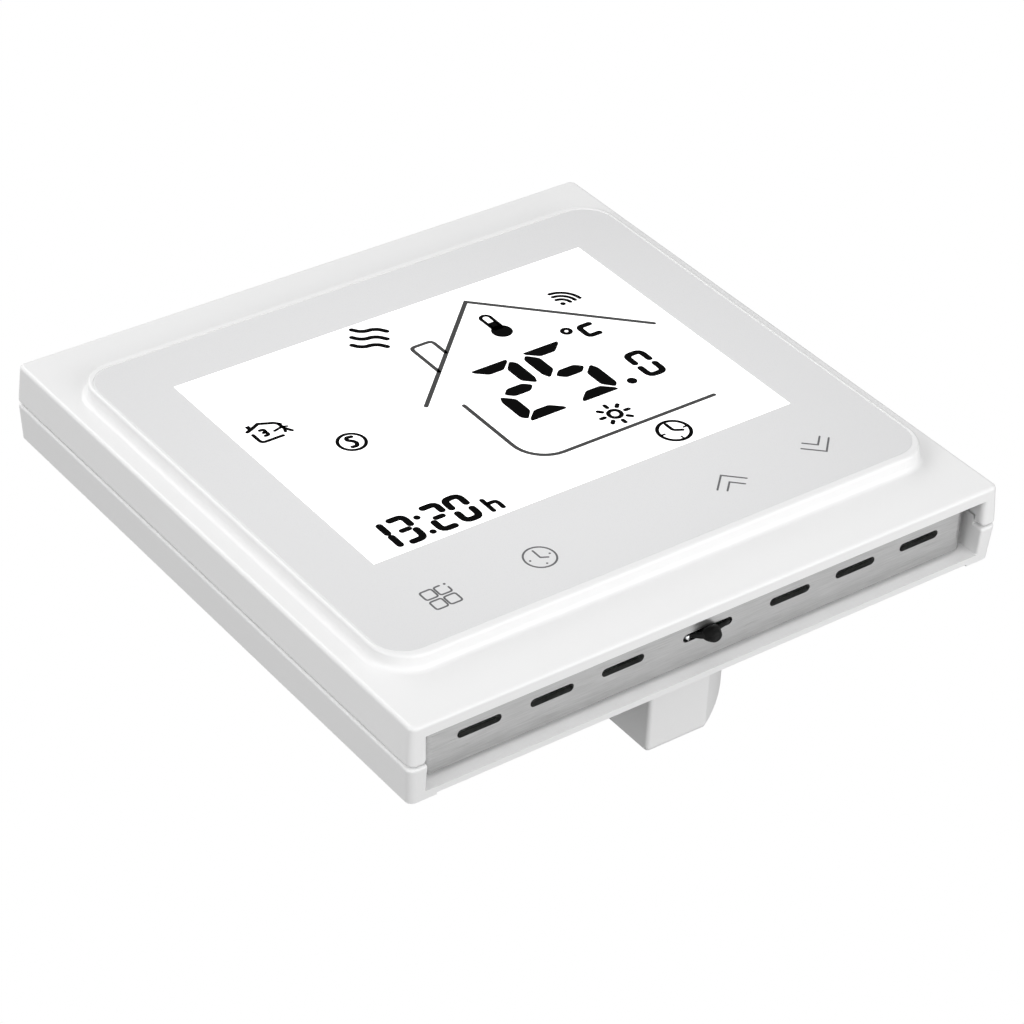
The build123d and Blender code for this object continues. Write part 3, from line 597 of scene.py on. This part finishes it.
def small_zero(art, x0, x1, z0, z1, width):
    """Two arches with a gap between them, as a zero with its middle bar unlit."""
    r, middle = 0.9 * width, (z0 + z1) / 2
    gap = 0.68 * width
    art.stroke(rounded([(x0, middle + gap), (x0, z1), (x1, z1), (x1, middle + gap)], r, False), width)
    art.stroke(rounded([(x0, middle - gap), (x0, z0), (x1, z0), (x1, middle - gap)], r, False), width)


def draw_display():
    """The lit window and every dark segment on it."""
    view = Artwork("display_view", "view", LENS_FACE)
    view.fill([(-31.15, -18.0), (31.0, -18.0), (31.0, 25.7), (-31.15, 25.7)])
    view.done("diffuser")
    on_view = LENS_FACE - PRINT_T

    house = Artwork("display_house_lines", "line_segment", on_view)
    house.stroke([(-7.4, 5.6), (10.6, 22.6), (28.0, 5.65)], 0.6)
    house.stroke(rounded([(-1.63, 11.1), (-1.63, 17.35), (1.6, 17.35), (1.6, 14.2)], 0.7, False), 0.56)
    wall = [(-3.4, 3.2), (-3.4, -7.0), *arc((1.0, -7.0), 4.4, 180, 270), (24.2, -11.4)]
    house.stroke(wall, 0.58)
    house.done("chip")

    warm = Artwork("display_heat_waves", "segment", on_view)
    for step in range(3):
        wave = [(-5.45, 24.85), (-4.95, 24.1), (-4.2, 23.65), (-3.3, 23.6), (-2.5, 23.15), (-1.9, 22.25)]
        warm.stroke(rounded(shifted(wave, -0.97 * step, -1.5 * step), 0.4, False), 0.76)
    warm.done("chip")

    glass = Artwork("display_thermometer", "segment", on_view)
    glass.stroke([(9.85, 15.4), (9.85, 18.0), *arc((10.5, 18.0), 0.68, 180, 0), (11.15, 15.4)], 0.5)
    glass.fill([(9.85, 15.0), (11.15, 15.0), (11.15, 16.9), (9.85, 16.9)])
    glass.disc((10.5, 14.5), 1.4)
    glass.done("chip")

    radio = Artwork("display_signal", "segment", on_view)
    for radius in (1.35, 2.15, 2.95):
        radio.stroke(arc((20.7, 15.4), radius, 4, 88), 0.56)
    radio.disc((20.95, 15.6), 0.38)
    radio.done("chip")

    room = Artwork("display_room_temperature", "segment", on_view)
    big_digit(room, (4.35, 2.45), ("top", "upper_right", "middle", "lower_left", "bottom"))
    big_digit(room, (12.3, 2.45), ("top", "upper_left", "middle", "lower_right", "bottom"))
    room.disc((17.5, -3.45), 0.68)
    small_zero(room, 20.2, 22.45, -3.7, 1.45, 0.92)
    room.stroke(arc((17.4, 10.1), 0.55, 0, 360), 0.58, closed=True)
    room.stroke(rounded([(20.9, 10.0), (19.2, 10.0), (19.2, 7.65), (20.8, 7.65)], 0.6, False), 0.84)
    room.done("chip")

    sun = Artwork("display_sun", "segment", on_view)
    sun.stroke(arc((11.2, -8.2), 0.82, 0, 360), 0.58, closed=True)
    for turn in range(8):
        angle = math.radians(45 * turn)
        ray = [(11.2 + r * math.cos(angle), -8.2 + r * math.sin(angle)) for r in (1.6, 2.1)]
        sun.stroke(ray, 0.6)
    sun.done("chip")

    clock = Artwork("display_clock", "segment", on_view)
    clock.stroke(arc((15.1, -15.0), 2.1, 0, 360), 0.5, closed=True)
    clock.stroke(rounded([(15.05, -13.4), (15.05, -14.85), (16.1, -15.4)], 0.4, False), 0.5)
    for turn in (0, 180, 270):
        angle = math.radians(turn)
        tick = [(15.1 + r * math.cos(angle), -15.0 + r * math.sin(angle)) for r in (1.45, 1.9)]
        clock.stroke(tick, 0.3)
    clock.done("chip")

    time = Artwork("display_time", "segment", on_view)
    top, middle, low = -11.95, -14.35, -16.75
    width = 0.96
    for z0, z1 in ((-12.2, -13.85), (-14.75, -16.45)):
        time.stroke([(-26.42, z0), (-26.42, z1)], width)
    time.stroke(rounded([(-24.85, top), (-23.1, top), (-23.1, -13.7)], 0.8, False), width)
    time.stroke([(-24.7, middle), (-23.75, middle)], width * 0.85)
    time.stroke(rounded([(-23.1, -15.0), (-23.1, low), (-24.8, low)], 0.8, False), width)
    for z in (-13.08, -16.4):
        time.disc((-21.72, z), 0.45)
    time.stroke(rounded([(-20.15, top), (-18.4, top), (-18.4, -13.4)], 0.8, False), width)
    time.stroke([(-19.9, middle), (-18.95, middle)], width * 0.85)
    time.stroke(rounded([(-20.55, -15.0), (-20.55, low), (-18.85, low)], 0.8, False), width)
    small_zero(time, -17.2, -15.12, low, top, width)
    time.stroke([(-13.28, -14.35), (-13.28, -16.75)], 0.66)
    time.stroke(rounded([(-13.1, -15.3), (-11.88, -15.25), (-11.88, -16.75)], 0.7, False), 0.66)
    time.done("chip")

    away = Artwork("display_period_house", "segment", on_view)
    away.stroke(rounded([(-28.65, 11.6), (-28.65, 9.65), (-25.6, 9.65)], 0.6, False), 0.5)
    away.stroke([(-28.9, 12.5), (-28.2, 12.75), (-26.9, 13.35), (-25.1, 12.5), (-24.6, 11.9)], 0.52)
    away.fill([(-28.6, 12.9), (-28.0, 13.1), (-28.0, 13.6), (-28.6, 13.6)])
    away.stroke(rounded([(-27.45, 12.0), (-26.95, 12.0), (-26.95, 11.4), (-27.3, 11.35)], 0.3, False), 0.5)
    away.stroke(rounded([(-27.3, 11.35), (-26.95, 11.3), (-26.95, 10.7), (-27.45, 10.7)], 0.3, False), 0.5)
    away.stroke([(-25.95, 11.0), (-24.9, 11.25)], 0.4)
    away.stroke([(-24.75, 12.0), (-24.65, 10.9), (-24.1, 10.0)], 0.5)
    away.stroke([(-24.65, 10.9), (-24.9, 10.2)], 0.4)
    away.stroke([(-24.65, 11.3), (-24.1, 11.05)], 0.35)
    away.done("chip")

    mode = Artwork("display_period_ring", "segment", on_view)
    mode.stroke(arc((-19.4, 4.05), 1.75, 0, 360), 0.46, closed=True)
    curve = [(-18.85, 5.0), (-19.5, 5.15), (-19.75, 4.6), (-19.2, 4.15)]
    curve += [(-18.95, 3.6), (-19.3, 3.0), (-19.9, 3.1)]
    mode.stroke(rounded(curve, 0.35, False), 0.58)
    mode.done("chip")


KEY_Z = -27.2
KEY_LINE = 0.24


def draw_keys():
    """The four touch signs printed under the window."""
    menu = Artwork("key_menu", "key_print", LENS_FACE)
    for x0, z0 in ((-30.0, -27.0), (-30.0, -29.05), (-28.05, -29.05)):
        square = [(x0, z0), (x0 + 1.65, z0), (x0 + 1.65, z0 + 1.6), (x0, z0 + 1.6)]
        menu.stroke(rounded(square, 0.35), KEY_LINE, closed=True)
    notched = [(-27.2, -25.4), (-28.05, -25.4), (-28.05, -27.0), (-26.4, -27.0), (-26.4, -26.15)]
    menu.stroke(rounded(notched, 0.35, False), KEY_LINE)
    menu.disc((-26.5, -25.45), 0.17)
    menu.done("chip")

    clock = Artwork("key_clock", "key_print", LENS_FACE)
    centre = (-14.2, KEY_Z)
    clock.stroke(arc(centre, 2.0, 0, 360), KEY_LINE, closed=True)
    clock.stroke([(-14.2, -25.75), (-14.2, -27.25), (-13.35, -27.7)], KEY_LINE)
    for turn in (0, 180, 270):
        angle = math.radians(turn)
        clock.disc((centre[0] + 1.4 * math.cos(angle), centre[1] + 1.4 * math.sin(angle)), 0.14)
    clock.done("chip")

    up = Artwork("key_up", "key_print", LENS_FACE)
    up.stroke([(11.7, -27.7), (13.95, -25.55), (16.2, -27.7)], KEY_LINE)
    up.stroke([(12.6, -28.5), (13.95, -27.2), (15.3, -28.5)], KEY_LINE)
    up.done("chip")

    down = Artwork("key_down", "key_print", LENS_FACE)
    down.stroke([(25.8, -26.4), (28.05, -28.5), (30.15, -26.4)], KEY_LINE)
    down.stroke([(26.65, -25.55), (28.05, -26.85), (29.4, -25.55)], KEY_LINE)
    down.done("chip")


# ---------------------------------------------------------------- small solid detail


class Solid:
    """Small closed shapes collected into one mesh, positions in millimetres."""

    def __init__(self, name, finish):
        self.name, self.finish = name, finish
        self.bm = bmesh.new()

    def tube(self, path, radii, sides=12):
        """Round rod along a path, with a radius for each point and flat ends."""
        points = [Vector(p) for p in path]
        rings, side = [], None
        for i, point in enumerate(points):
            along = (points[min(i + 1, len(points) - 1)] - points[max(i - 1, 0)]).normalized()
            if side is None:
                side = along.orthogonal()
            side = (side - along * side.dot(along)).normalized()
            across = along.cross(side)
            ring = []
            for k in range(sides):
                angle = 2 * math.pi * k / sides
                offset = (side * math.cos(angle) + across * math.sin(angle)) * radii[i]
                ring.append(self.bm.verts.new((point + offset) * MM))
            rings.append(ring)
        for first, second in zip(rings, rings[1:]):
            for k in range(sides):
                j = (k + 1) % sides
                self.bm.faces.new((first[k], first[j], second[j], second[k]))
        self.bm.faces.new(list(reversed(rings[0])))
        self.bm.faces.new(rings[-1])

    def block(self, low, high, edge=0.08):
        """Box from low to high with bevelled edges."""
        made = bmesh.ops.create_cube(self.bm, size=1.0)["verts"]
        size = Vector(high) - Vector(low)
        middle = (Vector(high) + Vector(low)) / 2
        for vert in made:
            vert.co = Vector(c * s for c, s in zip(vert.co, size)) * MM + middle * MM
        edges = {e for v in made for e in v.link_edges}
        bmesh.ops.bevel(self.bm, geom=list(edges), offset=edge * MM, segments=2, affect="EDGES", profile=0.7)

    def done(self, slot=None, instead_of=None):
        """Makes the piece, and hides the CAD node named by instead_of if one is given. The slot argument is
        not used.
        """
        bmesh.ops.recalc_face_normals(self.bm, faces=self.bm.faces)
        for face in self.bm.faces:
            face.smooth = len(face.verts) == 4
        piece = add_piece(self.name, self.bm, self.finish)
        if instead_of:
            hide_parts(instead_of)


def box_mm(node):
    low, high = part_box(node)
    return Vector(low) / MM, Vector(high) / MM


LENS_GAP_CORNER = 4.35
LENS_GAP_MIDDLE = 0.03
LENS_FILL_WIDTH = 0.2
LENS_FILL_DEPTH = 0.05


def draw_lens_edge():
    """White filler that hides the CAD model's fine clearance between the lens and its seat."""
    low, high = box_mm("touch_lens")
    edge = Artwork("lens_edge_fill", "white_abs", LENS_FACE + LENS_FILL_DEPTH * MM)
    x0, z0 = low.x - LENS_GAP_MIDDLE, low.z - LENS_GAP_MIDDLE
    x1, z1 = high.x + LENS_GAP_MIDDLE, high.z + LENS_GAP_MIDDLE
    r = LENS_GAP_CORNER
    path = arc((x1 - r, z1 - r), r, 0, 90) + arc((x0 + r, z1 - r), r, 90, 180)
    path += arc((x0 + r, z0 + r), r, 180, 270) + arc((x1 - r, z0 + r), r, 270, 360)
    edge.stroke(path, LENS_FILL_WIDTH, closed=True)
    edge.done("white_abs")


SPRING_XS = (-28.1, -14.1, 14.1, 28.1)
SPRING_RADIUS, SPRING_WIRE, SPRING_TURNS = 3.45, 0.22, 3.5
SPRING_STEPS = 18


def draw_touch_springs():
    """Coil springs between the display board and the four touch signs."""
    low, high = box_mm("touch_springs")
    coils = Solid("touch_spring_coils", "tin")
    first, last = low.y + SPRING_WIRE + 0.02, high.y - SPRING_WIRE - 0.02
    for x in SPRING_XS:
        path = []
        for i in range(int(SPRING_TURNS * SPRING_STEPS) + 1):
            share = i / (SPRING_TURNS * SPRING_STEPS)
            angle = 2 * math.pi * SPRING_TURNS * share
            across, up = SPRING_RADIUS * math.cos(angle), SPRING_RADIUS * math.sin(angle)
            path.append((x + across, first + (last - first) * share, KEY_Z + up))
        coils.tube(path, [SPRING_WIRE] * len(path), 8)
    coils.done(instead_of="touch_springs")


def draw_sensor_legs():
    """Sleeved legs that enter the slot on both sides of the sensor bead, and a short bare lead."""
    low, high = box_mm("sensor_bead")
    y, face = (low.y + high.y) / 2, box_mm("vent_strip")[0].z
    legs = Solid("sensor_legs", "sleeve")
    legs.tube([(-0.4, y, face - 0.75), (-1.3, y, face - 0.45), (-2.1, y, face + 0.1), (-2.5, y, face + 0.9),
               (-2.5, y, face + 1.6)], [0.5, 0.42, 0.33, 0.3, 0.26])
    legs.tube([(0.4, y, face - 0.7), (1.5, y, face - 0.25), (2.4, y, face - 0.1), (2.9, y, face + 0.1),
               (3.0, y, face + 0.9)], [0.45, 0.33, 0.32, 0.42, 0.26])
    legs.done("sensor_black")
    bare = Solid("sensor_bare_lead", "tin")
    path = [(-2.75, y + 0.05, face - 0.02), (-2.95, y + 0.05, face + 0.35), (-3.0, y, face + 1.2)]
    bare.tube(path, [0.3, 0.3, 0.2])
    bare.done("tin")


def lead_rows(solid, node, pitch, reach):
    """Gull-wing leads along the two upright sides of a chip."""
    low, high = box_mm(node)
    foot, count = low.y, int((high.z - low.z - 0.8) / pitch) + 1
    start = (low.z + high.z - (count - 1) * pitch) / 2
    for side, x in ((-1, low.x), (1, high.x)):
        for i in range(count):
            z = start + i * pitch
            path = [(x, foot + 0.75, z), (x + side * 0.3, foot + 0.7, z)]
            path += [(x + side * 0.45, foot + 0.2, z), (x + side * reach, foot + 0.12, z)]
            solid.tube(path, [0.13, 0.13, 0.13, 0.12], 6)


CHIP_PART_WIDE, CHIP_PART_TALL = 0.8, 0.6
RESISTOR_THICK, CAPACITOR_THICK = 0.4, 0.55
PIN_COUNT, PIN_PITCH = 24, 2.5
RESISTORS_AT = [(-32, 26), (-29, 26), (-26, 26), (-9, 8), (-9, 4.5), (-13, 17.5), (-21, 0.5), (-14, 0.5),
                (5, 19), (18, 22), (-32, -24), (-28, -24), (-10, -22), (10, -24), (18, -24), (34, 0)]
CAPACITORS_AT = [(-25.5, 12), (-25.5, 8), (-9, 12), (-17, 17.5), (-17.5, 0.5), (5, 22), (18, 19), (-18, -20),
                 (14, -24), (27, -20), (34, 5)]


def chip_parts(bodies, ends, places, back, thick):
    """Small two-ended parts on a board, with their solder ends."""
    wide, tall = CHIP_PART_WIDE, CHIP_PART_TALL
    for x, z in places:
        bodies.block((x - wide, back, z - tall), (x + wide, back + thick, z + tall))
        for side in (-1, 1):
            middle = x + side * (wide + 0.16)
            low = (middle - 0.2, back, z - tall - 0.04)
            high = (middle + 0.2, back + thick + 0.03, z + tall + 0.04)
            ends.block(low, high)


def draw_board_parts():
    """Leads, ceramic capacitors, resistors and solder joints on the back of the display board."""
    back = box_mm("display_board")[1].y
    leads = Solid("chip_leads", "tin")
    lead_rows(leads, "microcontroller", 0.8, 1.0)
    lead_rows(leads, "lcd_driver", 0.65, 0.9)
    leads.done("tin")
    resistors = Solid("chip_resistors", "chip")
    capacitors = Solid("chip_capacitors", "fuse")
    ends = Solid("chip_part_ends", "tin")
    chip_parts(resistors, ends, RESISTORS_AT, back, RESISTOR_THICK)
    chip_parts(capacitors, ends, CAPACITORS_AT, back, CAPACITOR_THICK)
    resistors.done("chip")
    capacitors.done("fuse_brown")
    ends.done("tin")
    joints = Solid("solder_joints", "tin")
    z = box_mm("lcd_pins")[1].z - 0.15
    for i in range(PIN_COUNT):
        x = (i - (PIN_COUNT - 1) / 2) * PIN_PITCH
        joints.tube([(x, back + 0.01, z), (x, back + 0.2, z), (x, back + 0.45, z)], [0.75, 0.5, 0.26], 10)
    joints.done("tin")


add_camera()
add_world()
add_area_light("under", UNDER_AT, UNDER_SIZE, UNDER_POWER)
add_area_light("side", SIDE_AT, SIDE_SIZE, SIDE_POWER)
add_area_light("over", OVER_AT, OVER_SIZE, OVER_POWER)
add_floor()
finish_cad_nodes()
draw_display()
draw_keys()
draw_lens_edge()
draw_touch_springs()
draw_sensor_legs()
draw_board_parts()

view = bpy.context.scene.view_settings
view.view_transform = "Standard"
view.look = "None"
